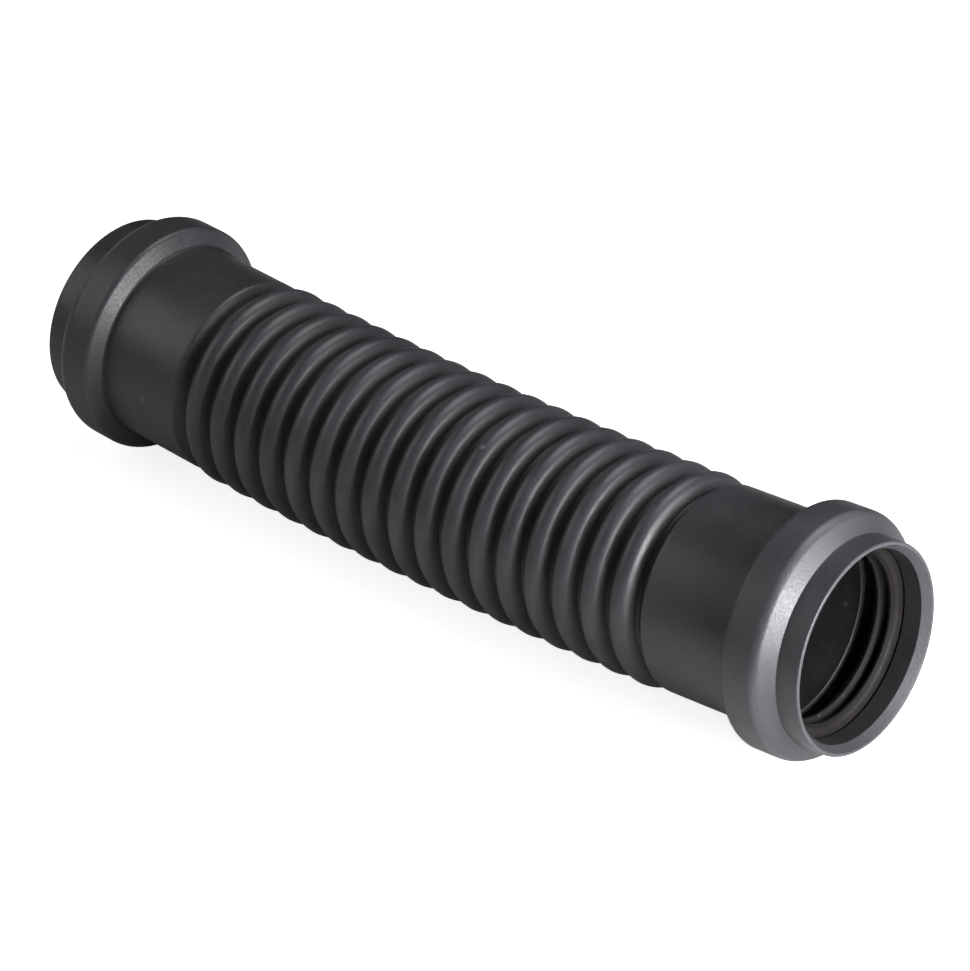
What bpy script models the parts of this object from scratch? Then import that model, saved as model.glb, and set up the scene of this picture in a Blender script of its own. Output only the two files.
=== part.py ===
"""Flexible waste connector for plain 50 mm pipe, lying on its two sockets.

The body is one moulded tube: folds in the middle, a plain neck at each side, and a socket
at each end with a chamber for a two-lip rubber seal. It is turned about a straight centre
line and then bent a few degrees, so that its ends rise as it lies. Metres, +Z up, length
along X. The origin is on the floor, under the middle of the connector.
"""

import math

import bpy
from mathutils import Matrix, Vector

# Pipe and bore
PIPE_RADIUS = 0.0250
PIPE_CLEARANCE = 0.00025
NECK_WALL = 0.00235

# Folds in the middle
CREST_COUNT = 17
PITCH = 0.00932
CREST_RISE = 0.0009
FOLD_DEPTH = 0.0040
CREST_ROUNDING = 0.0031
ROOT_ROUNDING = 0.0009
FOLD_WALL = 0.0015

# Plain necks between the folds and the sockets
NECK_LENGTH = 0.0298
NECK_RUN_UP = 0.0031
NECK_EDGE_ROUNDING = 0.0016
NECK_FOOT_ROUNDING = 0.0016

# Socket with its seal chamber
CHAMBER_LENGTH = 0.0097
CHAMBER_WALL = 0.00225
CHAMBER_EDGE_ROUNDING = 0.0015
BACK_SHOULDER_LENGTH = 0.0024
FRONT_SHOULDER_LENGTH = 0.0037
COLLAR_LENGTH = 0.0065
COLLAR_WALL = 0.0025
LEAD_IN_DEPTH = 0.0023
RIM_WIDTH = 0.0009
RIM_CHAMFER = 0.0002

# Rubber seal: its height outside the bore, its lips' reach into the pipe's surface, and its
# depths from the rim of its socket
SEAL_HEIGHT = 0.0048
SEAT_GAP = 0.0003
LIP_GRIP = 0.0027
LIP_THICKNESS = 0.0007
FIRST_LIP_DEPTH = 0.0095
SECOND_LIP_DEPTH = 0.0134
LIP_ROOT_THICKNESS = 0.0016
HEEL_STEP = 0.0004

# Bend and lie: the lean is two facets of the turned body, so that one faces the floor
BEND_ANGLE = math.radians(5.6)
BEND_LEAN = math.radians(24)

# Fineness of the faceted surfaces
SEGMENTS = 30
ARC_STEP = math.radians(30)
ROUNDING_SHARE = 0.45
MERGE_DISTANCE = 0.00001
SMOOTH_ANGLE = math.radians(40)

# Sizes that follow from those above
BORE_RADIUS = PIPE_RADIUS + PIPE_CLEARANCE
NECK_RADIUS = BORE_RADIUS + NECK_WALL
CREST_RADIUS = NECK_RADIUS + CREST_RISE
ROOT_RADIUS = CREST_RADIUS - FOLD_DEPTH
COLLAR_RADIUS = BORE_RADIUS + COLLAR_WALL
SEAL_RADIUS = BORE_RADIUS + SEAL_HEIGHT
LIP_RADIUS = PIPE_RADIUS - LIP_GRIP
CHAMBER_RADIUS = SEAL_RADIUS + SEAT_GAP + CHAMBER_WALL

FOLDS_END = CREST_COUNT * PITCH / 2
NECK_END = FOLDS_END + NECK_LENGTH
CHAMBER_BACK = NECK_END + BACK_SHOULDER_LENGTH
CHAMBER_FRONT = CHAMBER_BACK + CHAMBER_LENGTH
COLLAR_BACK = CHAMBER_FRONT + FRONT_SHOULDER_LENGTH
RIM = COLLAR_BACK + COLLAR_LENGTH

BACK_SLOPE = math.atan2(CHAMBER_RADIUS - NECK_RADIUS, BACK_SHOULDER_LENGTH)
FRONT_SLOPE = math.atan2(CHAMBER_RADIUS - COLLAR_RADIUS, FRONT_SHOULDER_LENGTH)
FLEX_LENGTH = 2 * (FOLDS_END + NECK_RUN_UP)


def clear_scene():
    for item in list(bpy.data.objects):
        bpy.data.objects.remove(item, do_unlink=True)


def plastic(name, colour, roughness):
    """A dielectric Principled material."""
    material = bpy.data.materials.new(name)
    material.use_nodes = True
    shader = material.node_tree.nodes["Principled BSDF"]
    shader.inputs["Base Color"].default_value = (*colour, 1.0)
    shader.inputs["Roughness"].default_value = roughness
    shader.inputs["Metallic"].default_value = 0.0
    material.diffuse_color = (*colour, 1.0)
    return material


def arc(distance, radius, rounding, start, end):
    """Points of an arc about (distance, radius), its angles measured from the radial direction."""
    steps = max(1, math.ceil(abs(end - start) / ARC_STEP))
    angles = [start + (end - start) * step / steps for step in range(steps + 1)]
    return [
        (distance + rounding * math.sin(angle), radius + rounding * math.cos(angle))
        for angle in angles
    ]


def rounded(before, corner, after, rounding):
    """The corner of an outline replaced by an arc that touches both of its lines."""
    corner = Vector(corner)
    to_before = Vector(before) - corner
    to_after = Vector(after) - corner
    half_angle = to_before.angle(to_after) / 2
    longest = ROUNDING_SHARE * min(to_before.length, to_after.length)
    reach = min(rounding / math.tan(half_angle), longest)
    bisector = (to_before.normalized() + to_after.normalized()).normalized()
    centre = corner + bisector * reach / math.cos(half_angle)
    first = corner + to_before.normalized() * reach - centre
    last = corner + to_after.normalized() * reach - centre
    sweep = first.angle_signed(last)
    steps = max(1, round(abs(sweep) / ARC_STEP))
    turns = [Matrix.Rotation(-sweep * step / steps, 2) for step in range(steps + 1)]
    return [tuple(centre + turn @ first) for turn in turns]


def outline(corners):
    """An open outline from (distance, radius, rounding) corners. A rounding of 0 stays sharp."""
    points = []
    for index, (distance, radius, rounding) in enumerate(corners):
        if rounding and 0 < index < len(corners) - 1:
            before = corners[index - 1][:2]
            after = corners[index + 1][:2]
            points += rounded(before, (distance, radius), after, rounding)
        else:
            points.append((distance, radius))
    return points


def chamber_line(inset):
    """The corners of a line that runs at this depth under the outer skin of the chamber.

    Returns its radius, and the distances of its front and back corners from the middle.
    """
    front = CHAMBER_FRONT - inset * math.tan(FRONT_SLOPE / 2)
    back = CHAMBER_BACK + inset * math.tan(BACK_SLOPE / 2)
    return CHAMBER_RADIUS - inset, front, back


def front_cone(inset, radius):
    """Where the front cone of the line at this depth reaches the given radius."""
    line_radius, front, _ = chamber_line(inset)
    return front + (line_radius - radius) / math.tan(FRONT_SLOPE)


def back_cone(inset, radius):
    """Where the back cone of the line at this depth reaches the given radius."""
    line_radius, _, back = chamber_line(inset)
    return back - (line_radius - radius) / math.tan(BACK_SLOPE)


def flank_angle():
    """The slope of a fold's straight flank, which touches the crest's arc and the root's."""
    crest_centre = CREST_RADIUS - CREST_ROUNDING
    root_centre = ROOT_RADIUS + ROOT_ROUNDING
    across = math.hypot(PITCH / 2, root_centre - crest_centre)
    touch = math.asin(min(1.0, (CREST_ROUNDING + ROOT_ROUNDING) / across))
    return touch - math.atan2(root_centre - crest_centre, PITCH / 2)


def socket_outside():
    """The outer line of one end, from the rim to the first root of the folds."""
    return outline(
        [
            (RIM, COLLAR_RADIUS - RIM_WIDTH, 0),
            (RIM, COLLAR_RADIUS - RIM_CHAMFER, 0),
            (RIM - RIM_CHAMFER, COLLAR_RADIUS, 0),
            (COLLAR_BACK, COLLAR_RADIUS, 0),
            (CHAMBER_FRONT, CHAMBER_RADIUS, CHAMBER_EDGE_ROUNDING),
            (CHAMBER_BACK, CHAMBER_RADIUS, CHAMBER_EDGE_ROUNDING),
            (NECK_END, NECK_RADIUS, NECK_FOOT_ROUNDING),
            (FOLDS_END + NECK_RUN_UP, NECK_RADIUS, NECK_EDGE_ROUNDING),
            (FOLDS_END, ROOT_RADIUS, 0),
        ]
    )


def socket_inside():
    """The inner line of one end, from the stop that the pipe meets to the rim."""
    groove_radius, groove_front, groove_back = chamber_line(CHAMBER_WALL)
    return outline(
        [
            (FOLDS_END + NECK_RUN_UP, BORE_RADIUS, 0),
            (back_cone(CHAMBER_WALL, BORE_RADIUS), BORE_RADIUS, 0),
            (groove_back, groove_radius, 0),
            (groove_front, groove_radius, 0),
            (front_cone(CHAMBER_WALL, BORE_RADIUS), BORE_RADIUS, 0),
            (RIM - LEAD_IN_DEPTH, BORE_RADIUS, 0),
        ]
    )


def folds_outside():
    """Round crests with narrower roots between them, from the +Z end to the -Z end."""
    slope = flank_angle()
    points = []
    for index in range(CREST_COUNT):
        crest = FOLDS_END - (index + 0.5) * PITCH
        points += arc(crest, CREST_RADIUS - CREST_ROUNDING, CREST_ROUNDING, slope, -slope)
        if index < CREST_COUNT - 1:
            points.append((crest - PITCH / 2, ROOT_RADIUS))
    return points


def folds_inside():
    """The same folds inside, a wall's thickness away: wide ridges and narrow grooves."""
    slope = flank_angle() / 2
    ridge_rounding = ROOT_ROUNDING + FOLD_WALL
    ridge_centre = ROOT_RADIUS + ROOT_ROUNDING
    points = []
    for index in range(CREST_COUNT + 1):
        root = index * PITCH - FOLDS_END
        points += [
            (
                root + side * ridge_rounding * math.sin(slope),
                ridge_centre - ridge_rounding * math.cos(slope),
            )
            for side in (-1, 1)
        ]
        if index < CREST_COUNT:
            points.append((root + PITCH / 2, CREST_RADIUS - FOLD_WALL))
    return points


def mirrored(points):
    """The same line at the other end of the body, run the other way."""
    return [(-distance, radius) for distance, radius in reversed(points)]


def body_section():
    """The whole wall as one closed outline, down its outer side and back up the inside."""
    outside = socket_outside() + folds_outside() + mirrored(socket_outside())
    inside = mirrored(socket_inside()) + folds_inside() + socket_inside()
    return outside + inside


def seal_section():
    """The seal's wall as one closed outline, down its outer side and back up past the lips."""
    inset = CHAMBER_WALL + SEAT_GAP
    seat_radius, seat_front, seat_back = chamber_line(inset)
    nose_radius = BORE_RADIUS
    heel_radius = BORE_RADIUS + HEEL_STEP
    first_lip = RIM - FIRST_LIP_DEPTH
    second_lip = RIM - SECOND_LIP_DEPTH
    web = first_lip - LIP_THICKNESS - LIP_ROOT_THICKNESS
    points = [
        (front_cone(inset, nose_radius), nose_radius),
        (seat_front, seat_radius),
        (seat_back, seat_radius),
        (back_cone(inset, heel_radius), heel_radius),
        (second_lip - LIP_THICKNESS - 2 * LIP_ROOT_THICKNESS, heel_radius),
        (second_lip - LIP_THICKNESS, LIP_RADIUS),
        (second_lip, LIP_RADIUS),
        (web, nose_radius),
        (first_lip - LIP_THICKNESS - LIP_ROOT_THICKNESS / 2, nose_radius),
        (first_lip - LIP_THICKNESS, LIP_RADIUS),
        (first_lip, LIP_RADIUS),
    ]
    return [(distance - RIM, radius) for distance, radius in points]


def turned(name, section, material, collection):
    """A solid of revolution about local Z from a closed section of (distance, radius) points."""
    mesh = bpy.data.meshes.new(name)
    vertices = [(radius, 0.0, distance) for distance, radius in section]
    edges = [(index, (index + 1) % len(vertices)) for index in range(len(vertices))]
    mesh.from_pydata(vertices, edges, [])
    mesh.materials.append(material)
    item = bpy.data.objects.new(name, mesh)
    collection.objects.link(item)
    screw = item.modifiers.new("Turn", "SCREW")
    screw.axis = "Z"
    screw.angle = 2 * math.pi
    screw.steps = SEGMENTS
    screw.render_steps = SEGMENTS
    screw.use_merge_vertices = True
    screw.merge_threshold = MERGE_DISTANCE
    return item


def bend(item):
    """Bends the folds about local X, so that the straight ends swing towards local +Y."""
    modifier = item.modifiers.new("Bend", "SIMPLE_DEFORM")
    modifier.deform_method = "BEND"
    modifier.deform_axis = "X"
    modifier.angle = BEND_ANGLE
    straight_share = (RIM - FLEX_LENGTH / 2) / (2 * RIM)
    modifier.limits = (straight_share, 1 - straight_share)


def shade(item):
    """Replaces an object's mesh by its evaluated one, smooth between its sharp edges."""
    graph = bpy.context.evaluated_depsgraph_get()
    mesh = bpy.data.meshes.new_from_object(item.evaluated_get(graph))
    mesh.name = item.name
    item.modifiers.clear()
    item.data = mesh
    mesh.shade_smooth()
    mesh.set_sharp_from_angle(angle=SMOOTH_ANGLE)


def bent_place(distance):
    """The frame on the bent centre line at a distance from the middle, its Z along the line."""
    curvature = BEND_ANGLE / FLEX_LENGTH
    inside = max(-FLEX_LENGTH / 2, min(FLEX_LENGTH / 2, distance))
    turn = inside * curvature
    beyond = distance - inside
    place = Matrix.Translation(
        (
            0.0,
            (1 - math.cos(turn)) / curvature + beyond * math.sin(turn),
            math.sin(turn) / curvature + beyond * math.cos(turn),
        )
    )
    return place @ Matrix.Rotation(-turn, 4, "X")


def build_seal(name, side, stand, material, collection):
    """One seal in the socket on this side, held at an empty in the middle of that rim."""
    socket = bpy.data.objects.new(name.replace("seal", "rim"), None)
    collection.objects.link(socket)
    socket.parent = stand
    socket.empty_display_size = PIPE_RADIUS
    outwards = Matrix.Identity(4) if side > 0 else Matrix.Rotation(math.pi, 4, "Y")
    socket.matrix_local = bent_place(side * RIM) @ outwards
    seal = turned(name, seal_section(), material, collection)
    shade(seal)
    seal.parent = socket


def rest_on_floor(stand, body):
    """Moves the whole connector so that its box stands on the floor over the origin."""
    bpy.context.view_layer.update()
    corners = [body.matrix_world @ vertex.co for vertex in body.data.vertices]
    for axis in (0, 1):
        values = [corner[axis] for corner in corners]
        stand.location[axis] -= (min(values) + max(values)) / 2
    stand.location.z -= min(corner.z for corner in corners)


def build():
    clear_scene()
    collection = bpy.data.collections.new("flexible_waste_connector")
    bpy.context.scene.collection.children.link(collection)
    black_plastic = plastic("black_polypropylene", (0.052, 0.053, 0.057), 0.42)
    rubber = plastic("seal_rubber", (0.045, 0.041, 0.037), 0.6)

    stand = bpy.data.objects.new("connector", None)
    collection.objects.link(stand)
    stand.rotation_euler = (math.pi / 2, BEND_LEAN, math.pi / 2)

    body = turned("connector_body", body_section(), black_plastic, collection)
    bend(body)
    shade(body)
    body.parent = stand
    build_seal("seal_left", -1, stand, rubber, collection)
    build_seal("seal_right", 1, stand, rubber, collection)
    rest_on_floor(stand, body)
    bpy.context.view_layer.update()


build()
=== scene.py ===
import math

import bpy
import numpy as np
from mathutils import Matrix, Vector


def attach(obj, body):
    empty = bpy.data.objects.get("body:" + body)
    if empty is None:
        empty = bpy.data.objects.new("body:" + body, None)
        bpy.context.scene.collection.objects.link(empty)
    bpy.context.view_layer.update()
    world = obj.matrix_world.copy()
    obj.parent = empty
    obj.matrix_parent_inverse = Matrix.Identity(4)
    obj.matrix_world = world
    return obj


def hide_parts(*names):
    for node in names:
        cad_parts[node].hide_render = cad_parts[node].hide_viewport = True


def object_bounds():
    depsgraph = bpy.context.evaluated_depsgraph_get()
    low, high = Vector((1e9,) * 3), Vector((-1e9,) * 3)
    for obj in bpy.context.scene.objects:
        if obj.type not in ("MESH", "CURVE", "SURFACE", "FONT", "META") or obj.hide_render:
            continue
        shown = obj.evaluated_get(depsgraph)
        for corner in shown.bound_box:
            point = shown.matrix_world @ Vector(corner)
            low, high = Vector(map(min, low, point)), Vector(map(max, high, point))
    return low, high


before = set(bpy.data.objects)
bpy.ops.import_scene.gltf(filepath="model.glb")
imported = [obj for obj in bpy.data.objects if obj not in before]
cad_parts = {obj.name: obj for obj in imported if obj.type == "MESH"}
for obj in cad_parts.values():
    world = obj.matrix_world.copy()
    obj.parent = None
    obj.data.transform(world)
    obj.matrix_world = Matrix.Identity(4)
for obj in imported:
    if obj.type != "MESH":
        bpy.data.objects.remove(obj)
cad_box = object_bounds()

# The camera
# It looks down on the connector from its right front through a long lens, as in the
# photograph. Its aim lies a few millimetres off the middle of the solids' box.
SENSOR_WIDTH = 36.0
FOCAL_LENGTH = 166.02
CAMERA_AZIMUTH = math.radians(42.454)
CAMERA_ELEVATION = math.radians(29.833)
CAMERA_DISTANCE = 1.16845
CAMERA_TO_RIGHT = 0.00387
CAMERA_DOWN = 0.00329

camera_right = Vector((math.cos(CAMERA_AZIMUTH), math.sin(CAMERA_AZIMUTH), 0.0))
camera_back = Vector(
    (
        math.sin(CAMERA_AZIMUTH) * math.cos(CAMERA_ELEVATION),
        -math.cos(CAMERA_AZIMUTH) * math.cos(CAMERA_ELEVATION),
        math.sin(CAMERA_ELEVATION),
    )
)
camera_up = camera_back.cross(camera_right)
camera_data = bpy.data.cameras.new("camera")
camera_data.sensor_width = SENSOR_WIDTH
camera_data.lens = FOCAL_LENGTH
camera = bpy.data.objects.new("camera", camera_data)
bpy.context.scene.collection.objects.link(camera)
camera.matrix_world = (
    Matrix.Translation(
        (cad_box[0] + cad_box[1]) / 2
        + camera_right * CAMERA_TO_RIGHT
        - camera_up * CAMERA_DOWN
        + camera_back * CAMERA_DISTANCE
    )
    @ Matrix((camera_right, camera_up, camera_back)).transposed().to_4x4()
)
bpy.context.scene.camera = camera


# The body
# One blow-moulded tube of black polypropylene: 17 folds that let it flex, a plain neck at
# each side of them, and at each end a socket whose swollen chamber holds a rubber seal.
PIPE_RADIUS = 0.0250
PIPE_CLEARANCE = 0.00025
NECK_WALL = 0.00235
CREST_COUNT = 17
PITCH = 0.00932
CREST_RISE = 0.0009
CREST_ROUNDING = 0.0031
ROOT_ROUNDING = 0.0009
FOLD_WALL = 0.0015
NECK_LENGTH = 0.0298
NECK_RUN_UP = 0.0031
NECK_EDGE_ROUNDING = 0.0016
NECK_FOOT_ROUNDING = 0.0016
CHAMBER_LENGTH = 0.0097
CHAMBER_WALL = 0.00225
BACK_EDGE_ROUNDING = 0.0018
FRONT_EDGE_ROUNDING = 0.0034
GROOVE_ROUNDING = 0.0006
BACK_SHOULDER_LENGTH = 0.0024
FRONT_SHOULDER_LENGTH = 0.0037
COLLAR_LENGTH = 0.0065
COLLAR_WALL = 0.0025
COLLAR_FOOT_ROUNDING = 0.0004
LEAD_IN_DEPTH = 0.0023
RIM_WIDTH = 0.0009
MOUTH_ROUNDING = 0.00025
RIM_ROUNDING = 0.0005
BORE_EDGE_ROUNDING = 0.0004
SEAL_HEIGHT = 0.0048
SEAT_GAP = 0.0003
BEND_ANGLE = math.radians(5.6)
BEND_LEAN = math.radians(24)
# The bore's wall gets a hollow exposure of its own: painted shade darkens its colour.
STRAIGHT_INWARDS = -0.9
BORE_EXPOSURE = -0.8
BODY_COLUMNS = 108
ROUNDING_STEPS = 8

BORE_RADIUS = PIPE_RADIUS + PIPE_CLEARANCE
NECK_RADIUS = BORE_RADIUS + NECK_WALL
CREST_RADIUS = NECK_RADIUS + CREST_RISE
COLLAR_RADIUS = BORE_RADIUS + COLLAR_WALL
SEAL_RADIUS = BORE_RADIUS + SEAL_HEIGHT
CHAMBER_RADIUS = SEAL_RADIUS + SEAT_GAP + CHAMBER_WALL
FOLDS_END = CREST_COUNT * PITCH / 2
NECK_END = FOLDS_END + NECK_LENGTH
CHAMBER_BACK = NECK_END + BACK_SHOULDER_LENGTH
CHAMBER_FRONT = CHAMBER_BACK + CHAMBER_LENGTH
COLLAR_BACK = CHAMBER_FRONT + FRONT_SHOULDER_LENGTH
RIM = COLLAR_BACK + COLLAR_LENGTH
BACK_SLOPE = math.atan2(CHAMBER_RADIUS - NECK_RADIUS, BACK_SHOULDER_LENGTH)
FRONT_SLOPE = math.atan2(CHAMBER_RADIUS - COLLAR_RADIUS, FRONT_SHOULDER_LENGTH)


def chamber_line(inset):
    """Radius, front and back distance of the chamber's line at this depth under its skin."""
    front = CHAMBER_FRONT - inset * math.tan(FRONT_SLOPE / 2)
    back = CHAMBER_BACK + inset * math.tan(BACK_SLOPE / 2)
    return CHAMBER_RADIUS - inset, front, back


def cone_end(inset, radius, forward):
    """Distance at which the front or back cone of the line at this depth has this radius."""
    line_radius, front, back = chamber_line(inset)
    if forward:
        return front + (line_radius - radius) / math.tan(FRONT_SLOPE)
    return back - (line_radius - radius) / math.tan(BACK_SLOPE)


def mirrored(corners):
    """The same corners at the other end of the tube, in the other order."""
    return [(-distance, *rest) for distance, *rest in reversed(corners)]


def fold_corners(centre_radius, crest_rounding, root_rounding, outward):
    """Corners of the zigzag whose rounded form is the folds' line, its roots at both ends too.

    Crest and root arcs have their centres at one radius, half a pitch apart, and a straight
    flank touches both. A corner lies its rounding divided by the cosine of the flank's slope
    above or below the centres. Outward runs from +X to -X, and otherwise the other way.
    """
    slope = math.asin((crest_rounding + root_rounding) / (PITCH / 2))
    count = np.arange(2 * CREST_COUNT + 1)
    distance = FOLDS_END - count * PITCH / 2
    crest = count % 2 == 1
    radius = centre_radius + np.where(crest, crest_rounding, -root_rounding) / math.cos(slope)
    rounding = np.where(crest, crest_rounding, root_rounding)
    corners = np.stack([distance, radius, rounding], axis=1)
    return corners if outward else corners[::-1]


def rounded_section(corners):
    """A closed section with every corner rounded, as rows of point, normal and exposure.

    The corners (distance, radius, rounding) run anticlockwise. Each becomes an arc that
    touches both of its lines: the normal turns in even steps from the first line's to the
    second's, and a point is the arc's centre plus its rounding times that normal, or minus
    it where the corner is hollow. Exposure is a sine hump over the arc, positive on outer
    corners and negative in hollow ones.
    """
    corner = np.array(corners, float)
    point, rounding = corner[:, :2], corner[:, 2:]
    before = point - np.roll(point, 1, axis=0)
    before /= np.linalg.norm(before, axis=1, keepdims=True)
    after = np.roll(before, -1, axis=0)
    cross = before[:, 0] * after[:, 1] - before[:, 1] * after[:, 0]
    turn = np.arctan2(cross, (before * after).sum(axis=1))[:, None]
    side = np.sign(turn)[:, :, None]
    first_normal = np.stack([before[:, 1], -before[:, 0]], axis=1)
    start = point - before * rounding * np.tan(np.abs(turn) / 2)
    centre = (start - side[:, 0] * rounding * first_normal)[:, None, :]
    share = np.linspace(0.0, 1.0, ROUNDING_STEPS + 1)
    angle = turn * share
    cosine, sine = np.cos(angle), np.sin(angle)
    along, outward = first_normal[:, :1], first_normal[:, 1:]
    normal = np.stack([along * cosine - outward * sine, along * sine + outward * cosine], axis=2)
    arc = centre + side * rounding[:, :, None] * normal
    exposure = side * np.sin(math.pi * share)[None, :, None]
    return np.concatenate([arc, normal, exposure], axis=2).reshape(-1, 5)


def bent_tube(name, section, columns, middle):
    """A closed wall: the section turned about the centre line, which is bent and leans.

    Along the line the direction turns by the distance times the curvature up to the ends of
    the flexible stretch, and stays the same beyond: the rise is one minus the turn's cosine
    over the curvature, the run its sine over the curvature, plus the straight rest. A point
    is the line's own plus its radius times a unit vector square to the line, which goes
    round the tube with the column. Normals follow from the section's in the same way. The
    wall that looks straight inwards, the bore's, has an exposure of its own, by which the
    materials paint shade into the bore. Every point is moved by the middle, or without one so
    that the tube's box is centred on the solids'.
    """
    curvature = BEND_ANGLE / (2 * (FOLDS_END + NECK_RUN_UP))
    distance, radius, normal_along, normal_out, exposure = section.T[:, :, None]
    bent = np.clip(distance, -BEND_ANGLE / 2 / curvature, BEND_ANGLE / 2 / curvature)
    turn = bent * curvature
    run = np.sin(turn) / curvature + (distance - bent) * np.cos(turn)
    rise = (1 - np.cos(turn)) / curvature + (distance - bent) * np.sin(turn)
    around = 2 * math.pi * np.arange(columns) / columns
    x_axis = np.array([1.0, 0.0, 0.0])
    rise_axis = np.array([0.0, math.sin(BEND_LEAN), math.cos(BEND_LEAN)])
    side_axis = np.array([0.0, math.cos(BEND_LEAN), -math.sin(BEND_LEAN)])

    def laid_out(along_x, along_rise, along_side):
        """Points or directions in space from their parts along the three axes."""
        parts = np.broadcast_arrays(along_x, along_rise, along_side)
        return sum(p[..., None] * a for p, a in zip(parts, (x_axis, rise_axis, side_axis)))

    out_x, out_rise = -np.sin(turn) * np.cos(around), np.cos(turn) * np.cos(around)
    points = laid_out(run + radius * out_x, rise + radius * out_rise, radius * np.sin(around))
    normals = laid_out(
        normal_along * np.cos(turn) + normal_out * out_x,
        normal_along * np.sin(turn) + normal_out * out_rise,
        normal_out * np.sin(around),
    )
    if middle is None:
        lowest, highest = points.min(axis=(0, 1)), points.max(axis=(0, 1))
        middle = np.array((cad_box[0] + cad_box[1]) / 2) - (lowest + highest) / 2
    points = points + middle

    index = np.arange(points[..., 0].size).reshape(points.shape[:2])
    next_column, next_row = np.roll(index, -1, axis=1), np.roll(index, -1, axis=0)
    across = np.roll(next_row, -1, axis=1)
    quads = np.stack([index, next_column, across, next_row], axis=-1).reshape(-1, 4)
    mesh = bpy.data.meshes.new(name)
    mesh.vertices.add(index.size)
    mesh.vertices.foreach_set("co", points.astype(np.float32).ravel())
    mesh.loops.add(quads.size)
    mesh.loops.foreach_set("vertex_index", quads.astype(np.int32).ravel())
    mesh.polygons.add(len(quads))
    mesh.polygons.foreach_set("loop_start", np.arange(0, quads.size, 4, dtype=np.int32))
    mesh.update(calc_edges=True)
    mesh.normals_split_custom_set_from_vertices(normals.reshape(-1, 3))
    layer = mesh.attributes.new("exposure", "FLOAT", "POINT")
    # Painted shade: the bore's wall is marked as hollow so that its colour is darkened.
    exposure = np.where(normal_out < STRAIGHT_INWARDS, BORE_EXPOSURE, exposure)
    spread = np.broadcast_to(exposure, index.shape).astype(np.float32)
    layer.data.foreach_set("value", spread.ravel())
    piece = bpy.data.objects.new(name, mesh)
    bpy.context.scene.collection.objects.link(piece)
    return piece, middle


socket_outside = [
    (RIM, COLLAR_RADIUS - RIM_WIDTH, MOUTH_ROUNDING),
    (RIM, COLLAR_RADIUS, RIM_ROUNDING),
    (COLLAR_BACK, COLLAR_RADIUS, COLLAR_FOOT_ROUNDING),
    (CHAMBER_FRONT, CHAMBER_RADIUS, FRONT_EDGE_ROUNDING),
    (CHAMBER_BACK, CHAMBER_RADIUS, BACK_EDGE_ROUNDING),
    (NECK_END, NECK_RADIUS, NECK_FOOT_ROUNDING),
    (FOLDS_END + NECK_RUN_UP, NECK_RADIUS, NECK_EDGE_ROUNDING),
]
groove_radius, groove_front, groove_back = chamber_line(CHAMBER_WALL)
socket_inside = [
    (FOLDS_END + NECK_RUN_UP, BORE_RADIUS, NECK_EDGE_ROUNDING),
    (cone_end(CHAMBER_WALL, BORE_RADIUS, False), BORE_RADIUS, BORE_EDGE_ROUNDING),
    (groove_back, groove_radius, GROOVE_ROUNDING),
    (groove_front, groove_radius, GROOVE_ROUNDING),
    (cone_end(CHAMBER_WALL, BORE_RADIUS, True), BORE_RADIUS, BORE_EDGE_ROUNDING),
    (RIM - LEAD_IN_DEPTH, BORE_RADIUS, BORE_EDGE_ROUNDING),
]
arc_centres = CREST_RADIUS - CREST_ROUNDING
folds_outside = fold_corners(arc_centres, CREST_ROUNDING, ROOT_ROUNDING, True)
folds_inside = fold_corners(
    arc_centres, CREST_ROUNDING - FOLD_WALL, ROOT_ROUNDING + FOLD_WALL, False
)
body_section = rounded_section(
    [
        *socket_outside,
        *folds_outside,
        *mirrored(socket_outside),
        *mirrored(socket_inside),
        *folds_inside,
        *socket_inside,
    ]
)
body, tube_middle = bent_tube("body_shell", body_section, BODY_COLUMNS, None)


def fed(tree, socket, value):
    """Sets the socket to a value, or links it where the value is another node's socket."""
    if isinstance(value, bpy.types.NodeSocket):
        tree.links.new(value, socket)
    else:
        socket.default_value = value


def added(tree, kind, **inputs):
    """A new node of this kind, with each named input set to a value or linked to a socket."""
    node = tree.nodes.new(kind)
    for name, value in inputs.items():
        fed(tree, node.inputs[name.replace("_", " ")], value)
    return node


def calculated(tree, operation, *values):
    """The output of a new arithmetic node, with its inputs set or linked in order."""
    node = tree.nodes.new("ShaderNodeMath")
    node.operation = operation
    for socket, value in zip(node.inputs, values):
        fed(tree, socket, value)
    return node.outputs[0]


def ranged(tree, value, low, high, first, last):
    """The value carried smoothly from first to last as it goes from low to high."""
    node = added(tree, "ShaderNodeMapRange", Value=value, From_Min=low, From_Max=high)
    node.inputs["To Min"].default_value = first
    node.inputs["To Max"].default_value = last
    node.interpolation_type = "SMOOTHSTEP"
    return node.outputs["Result"]


COLOUR_MIX_INPUTS = (0, 6, 7)
COLOUR_MIX_RESULT = 2


def mixed(tree, factor, first, second):
    """A colour that goes from the first to the second with the factor."""
    node = tree.nodes.new("ShaderNodeMix")
    node.data_type = "RGBA"
    for number, value in zip(COLOUR_MIX_INPUTS, (factor, first, second)):
        fed(tree, node.inputs[number], value)
    return node.outputs[COLOUR_MIX_RESULT]


# The faults that both mouldings share, and the mask for their painted shade. Tone is 1 give or
# take clouds and grit, Wear the rubbed part of the outer corners, Hollow the corners that look
# inwards and the bore, where the materials paint shade into the colour and raise roughness,
# Speck sparse dust, and Normal the surface with its fine grain.
MOTTLE_DETAIL = 4.0
GRAIN_DETAIL = 2.0
MOTTLE_SPREAD = (0.25, 0.75)
GRAIN_SPREAD = (0.3, 0.7)
RUBBED_EXPOSURE = (0.45, 1.0)
RUBBED_MOTTLE = (0.4, 0.65)
HOLLOW_EXPOSURE = (0.0, -0.9)
RARE_SPECK = (0.93, 1.0)
SPECK_SPREAD = (0.0, 0.16)

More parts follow.
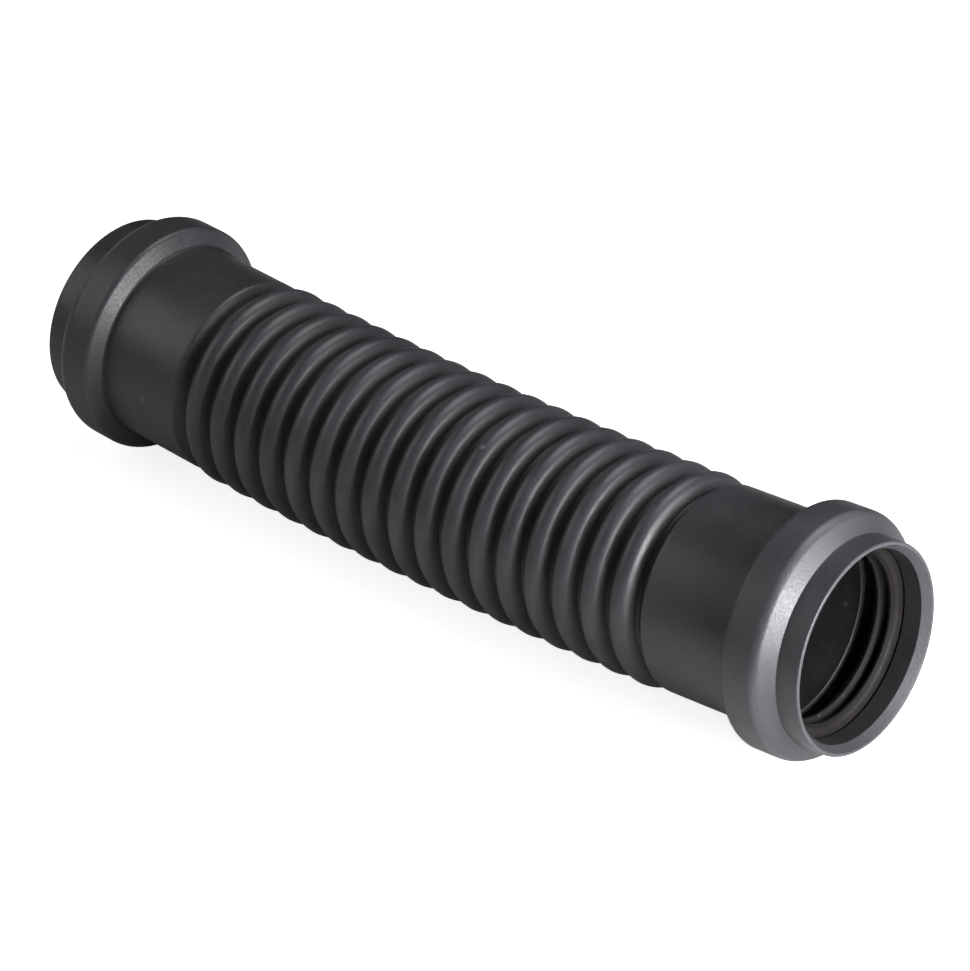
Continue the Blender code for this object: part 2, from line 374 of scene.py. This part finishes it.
moulded_faults_and_shade = bpy.data.node_groups.new("moulded_faults_and_shade", "ShaderNodeTree")
for name in ("Mottle Scale", "Mottle Depth", "Grain Scale", "Grain Height", "Speck Scale"):
    moulded_faults_and_shade.interface.new_socket(name, in_out="INPUT", socket_type="NodeSocketFloat")
for name in ("Tone", "Wear", "Hollow", "Speck"):
    moulded_faults_and_shade.interface.new_socket(name, in_out="OUTPUT", socket_type="NodeSocketFloat")
moulded_faults_and_shade.interface.new_socket("Normal", in_out="OUTPUT", socket_type="NodeSocketVector")
tree = moulded_faults_and_shade
given = added(tree, "NodeGroupInput").outputs
place = added(tree, "ShaderNodeTexCoord").outputs["Object"]
exposure_read = added(tree, "ShaderNodeAttribute")
exposure_read.attribute_name = "exposure"
exposure = exposure_read.outputs["Fac"]
mottle = added(
    tree, "ShaderNodeTexNoise", Vector=place, Scale=given["Mottle Scale"], Detail=MOTTLE_DETAIL
).outputs["Fac"]
grain = added(
    tree, "ShaderNodeTexNoise", Vector=place, Scale=given["Grain Scale"], Detail=GRAIN_DETAIL
).outputs["Fac"]
specks = added(tree, "ShaderNodeTexVoronoi", Vector=place, Scale=given["Speck Scale"]).outputs
speck_chance = added(tree, "ShaderNodeSeparateColor", Color=specks["Color"]).outputs["Red"]
rare = ranged(tree, speck_chance, *RARE_SPECK, 0.0, 1.0)
near = ranged(tree, specks["Distance"], *SPECK_SPREAD, 1.0, 0.0)
clouds = ranged(tree, mottle, *MOTTLE_SPREAD, -1.0, 1.0)
grit = ranged(tree, grain, *GRAIN_SPREAD, -1.0, 1.0)
unevenness = calculated(tree, "ADD", clouds, grit)
rubbed_corner = ranged(tree, exposure, *RUBBED_EXPOSURE, 0.0, 1.0)
rubbed_patch = ranged(tree, mottle, *RUBBED_MOTTLE, 0.0, 1.0)
bump = added(tree, "ShaderNodeBump", Height=grain, Distance=given["Grain Height"])
added(
    tree,
    "NodeGroupOutput",
    Tone=calculated(tree, "MULTIPLY_ADD", unevenness, given["Mottle Depth"], 1.0),
    Wear=calculated(tree, "MULTIPLY", rubbed_corner, rubbed_patch),
    Hollow=ranged(tree, exposure, *HOLLOW_EXPOSURE, 0.0, 1.0),
    Speck=calculated(tree, "MULTIPLY", rare, near),
    Normal=bump.outputs["Normal"],
)

SPECK_COLOUR = (0.35, 0.35, 0.36, 1.0)
WEAR_SHARE = 0.5
WEAR_POLISH = -0.05
HOLLOW_DULLING = 0.15


def moulded(name, faults, plain, worn, roughness, reflection, hollow_shade_depth, speck_depth):
    """A material of one plain colour with the shared faults on it.

    Base colour is the plain one times the tone and one minus the hollow's shade depth, which
    paints shade into hollow corners and the bore, mixed with the worn colour by a share of the
    wear, then with pale dust by speck. Roughness goes with the tone, falls a little where it is
    worn and rises in hollows.
    """
    material = bpy.data.materials.new(name)
    material.use_nodes = True
    tree = material.node_tree
    shader = tree.nodes["Principled BSDF"]
    shader.inputs["Specular IOR Level"].default_value = reflection
    group = tree.nodes.new("ShaderNodeGroup")
    group.node_tree = moulded_faults_and_shade
    for key, value in faults.items():
        group.inputs[key].default_value = value
    wear, hollow, tone = (group.outputs[key] for key in ("Wear", "Hollow", "Tone"))
    # Painted shade: the colour is darkened by the hollow mask in hollow corners and the bore.
    shade = calculated(tree, "MULTIPLY_ADD", hollow, -hollow_shade_depth, 1.0)
    shaded = tree.nodes.new("ShaderNodeVectorMath")
    shaded.operation = "SCALE"
    shaded.inputs[0].default_value = plain[:3]
    tree.links.new(calculated(tree, "MULTIPLY", tone, shade), shaded.inputs["Scale"])
    colour = mixed(tree, calculated(tree, "MULTIPLY", wear, WEAR_SHARE), shaded.outputs[0], worn)
    speck = calculated(tree, "MULTIPLY", group.outputs["Speck"], speck_depth)
    tree.links.new(mixed(tree, speck, colour, SPECK_COLOUR), shader.inputs["Base Color"])
    rough = calculated(tree, "MULTIPLY_ADD", wear, WEAR_POLISH, roughness)
    rough = calculated(tree, "MULTIPLY_ADD", hollow, HOLLOW_DULLING, rough)
    rough = calculated(tree, "MULTIPLY", rough, tone)
    tree.links.new(rough, shader.inputs["Roughness"])
    tree.links.new(group.outputs["Normal"], shader.inputs["Normal"])
    return material


black_plastic = moulded(
    "black_polypropylene",
    {
        "Mottle Scale": 55.0,
        "Mottle Depth": 0.10,
        "Grain Scale": 1400.0,
        "Grain Height": 0.00004,
        "Speck Scale": 160.0,
    },
    plain=(0.034, 0.034, 0.038, 1.0),
    worn=(0.060, 0.060, 0.066, 1.0),
    roughness=0.42,
    reflection=0.5,
    hollow_shade_depth=0.7,
    speck_depth=0.35,
)
body.data.materials.append(black_plastic)
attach(body, "root")
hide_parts("connector_body")


# The seals
# A ring of dark rubber fills the groove in each socket. Its two lips lean inwards, away from
# the rim, and wipe the pipe as it is pushed in. The front of the first swells in a slight bead.
LIP_GRIP = 0.0027
LIP_THICKNESS = 0.0007
FIRST_LIP_DEPTH = 0.0095
SECOND_LIP_DEPTH = 0.0134
LIP_ROOT_THICKNESS = 0.0016
HEEL_STEP = 0.0004
SEAT_ROUNDING = 0.0006
LIP_TIP_ROUNDING = 0.00024
LIP_HOLLOW_ROUNDING = 0.0003
NOSE_ROUNDING = 0.0008
BEAD_BULGE = 0.0005
BEAD_ROUNDING = 0.0020
SEAL_COLUMNS = 120

LIP_RADIUS = PIPE_RADIUS - LIP_GRIP
HEEL_RADIUS = BORE_RADIUS + HEEL_STEP
FIRST_LIP = RIM - FIRST_LIP_DEPTH
SECOND_LIP = RIM - SECOND_LIP_DEPTH
SEAL_INSET = CHAMBER_WALL + SEAT_GAP
NOSE = cone_end(SEAL_INSET, BORE_RADIUS, True)
BEAD_DISTANCE = (FIRST_LIP + NOSE) / 2 + BEAD_BULGE
BEAD_RADIUS = (LIP_RADIUS + BORE_RADIUS) / 2 - BEAD_BULGE
seat_radius, seat_front, seat_back = chamber_line(SEAL_INSET)
seal_corners = [
    (NOSE, BORE_RADIUS, NOSE_ROUNDING),
    (seat_front, seat_radius, SEAT_ROUNDING),
    (seat_back, seat_radius, SEAT_ROUNDING),
    (cone_end(SEAL_INSET, HEEL_RADIUS, False), HEEL_RADIUS, SEAT_ROUNDING),
    (SECOND_LIP - LIP_THICKNESS - 2 * LIP_ROOT_THICKNESS, HEEL_RADIUS, LIP_HOLLOW_ROUNDING),
    (SECOND_LIP - LIP_THICKNESS, LIP_RADIUS, LIP_TIP_ROUNDING),
    (SECOND_LIP, LIP_RADIUS, LIP_TIP_ROUNDING),
    (FIRST_LIP - LIP_THICKNESS - LIP_ROOT_THICKNESS, BORE_RADIUS, LIP_HOLLOW_ROUNDING),
    (FIRST_LIP - LIP_THICKNESS - LIP_ROOT_THICKNESS / 2, BORE_RADIUS, LIP_HOLLOW_ROUNDING),
    (FIRST_LIP - LIP_THICKNESS, LIP_RADIUS, LIP_TIP_ROUNDING),
    (FIRST_LIP, LIP_RADIUS, LIP_TIP_ROUNDING),
    (BEAD_DISTANCE, BEAD_RADIUS, BEAD_ROUNDING),
]
rubber = moulded(
    "dark_rubber",
    {
        "Mottle Scale": 90.0,
        "Mottle Depth": 0.18,
        "Grain Scale": 1800.0,
        "Grain Height": 0.00004,
        "Speck Scale": 260.0,
    },
    plain=(0.009, 0.008, 0.007, 1.0),
    worn=(0.016, 0.014, 0.012, 1.0),
    roughness=0.6,
    reflection=0.15,
    hollow_shade_depth=0.7,
    speck_depth=0.15,
)

for side, corners in (("right", seal_corners), ("left", mirrored(seal_corners))):
    section = rounded_section(corners)
    seal, _ = bent_tube(f"seal_ring_{side}", section, SEAL_COLUMNS, tube_middle)
    seal.data.materials.append(rubber)
    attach(seal, "root")
    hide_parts(f"seal_{side}")


# The floor
# A pale matt board that the connector lies on. The camera sees it lifted to white, and the
# connector's soft shadow stays on it.
FLOOR_HALF = 3.0
FLOOR_COLOUR = (0.7, 0.7, 0.7, 1.0)
FLOOR_LIFT = 0.85
PURE_WHITE = (1.0, 1.0, 1.0, 1.0)

body_points = np.zeros((len(body.data.vertices), 3), np.float32)
body.data.vertices.foreach_get("co", body_points.ravel())
floor_height = float(body_points[:, 2].min())
floor_mesh = bpy.data.meshes.new("floor")
floor_mesh.from_pydata(
    [
        (-FLOOR_HALF, -FLOOR_HALF, floor_height),
        (FLOOR_HALF, -FLOOR_HALF, floor_height),
        (FLOOR_HALF, FLOOR_HALF, floor_height),
        (-FLOOR_HALF, FLOOR_HALF, floor_height),
    ],
    [],
    [(0, 1, 2, 3)],
)
floor = bpy.data.objects.new("floor", floor_mesh)
bpy.context.scene.collection.objects.link(floor)
pale_board = bpy.data.materials.new("pale_board")
pale_board.use_nodes = True
tree = pale_board.node_tree
camera_ray = added(tree, "ShaderNodeLightPath").outputs["Is Camera Ray"]
lift = calculated(tree, "MULTIPLY", camera_ray, FLOOR_LIFT)
shader = tree.nodes["Principled BSDF"]
shader.inputs["Base Color"].default_value = FLOOR_COLOUR
shader.inputs["Roughness"].default_value = 1.0
shader.inputs["Specular IOR Level"].default_value = 0.0
shader.inputs["Emission Color"].default_value = PURE_WHITE
tree.links.new(lift, shader.inputs["Emission Strength"])
floor_mesh.materials.append(pale_board)


# The light
# Three small lamps low beyond the right mouth draw the bright line along every fold. Two
# soft boxes behind them and four large ones above and to the left fill the rest. All are a
# slightly cool white.
COOL_WHITE = (1.0, 1.0, 1.02)
MIDDLE = (cad_box[0] + cad_box[1]) / 2
RIGHT_END = (0.13, 0.0, 0.033)


def soft_box(name, place, aim, size, power):
    """A square lamp at this place that faces the aim."""
    data = bpy.data.lights.new(name, "AREA")
    data.shape = "SQUARE"
    data.size = size
    data.energy = power
    data.color = COOL_WHITE
    lamp = bpy.data.objects.new(name, data)
    bpy.context.scene.collection.objects.link(lamp)
    lamp.location = place
    lamp.rotation_euler = (Vector(place) - Vector(aim)).to_track_quat("Z", "Y").to_euler()
    lamp.visible_camera = False


soft_box("near_above", (0.33, -0.03, 0.115), RIGHT_END, size=0.05, power=0.70)
soft_box("near_axis", (0.33, -0.06, 0.06), RIGHT_END, size=0.05, power=0.30)
soft_box("near_front", (0.33, -0.12, 0.05), RIGHT_END, size=0.06, power=0.20)
soft_box("right_above", (0.45, 0.0, 0.25), RIGHT_END, size=0.2, power=1.00)
soft_box("right_behind", (0.45, 0.15, 0.20), RIGHT_END, size=0.2, power=1.10)
soft_box("above", (0.1, 0.3, 0.8), MIDDLE, size=0.5, power=3.40)
soft_box("left", (-0.6, -0.35, 0.45), MIDDLE, size=0.5, power=1.25)
soft_box("left_front", (-0.45, -0.65, 0.30), MIDDLE, size=0.5, power=0.42)
soft_box("left_behind", (-0.8, 0.2, 0.30), MIDDLE, size=0.5, power=0.35)

world = bpy.data.worlds.new("surround")
bpy.context.scene.world = world
world.use_nodes = True
tree = world.node_tree
tree.nodes.clear()
camera_ray = added(tree, "ShaderNodeLightPath").outputs["Is Camera Ray"]
white = added(tree, "ShaderNodeBackground", Color=PURE_WHITE, Strength=camera_ray)
added(tree, "ShaderNodeOutputWorld", Surface=white.outputs[0])

bpy.context.scene.view_settings.view_transform = "Standard"
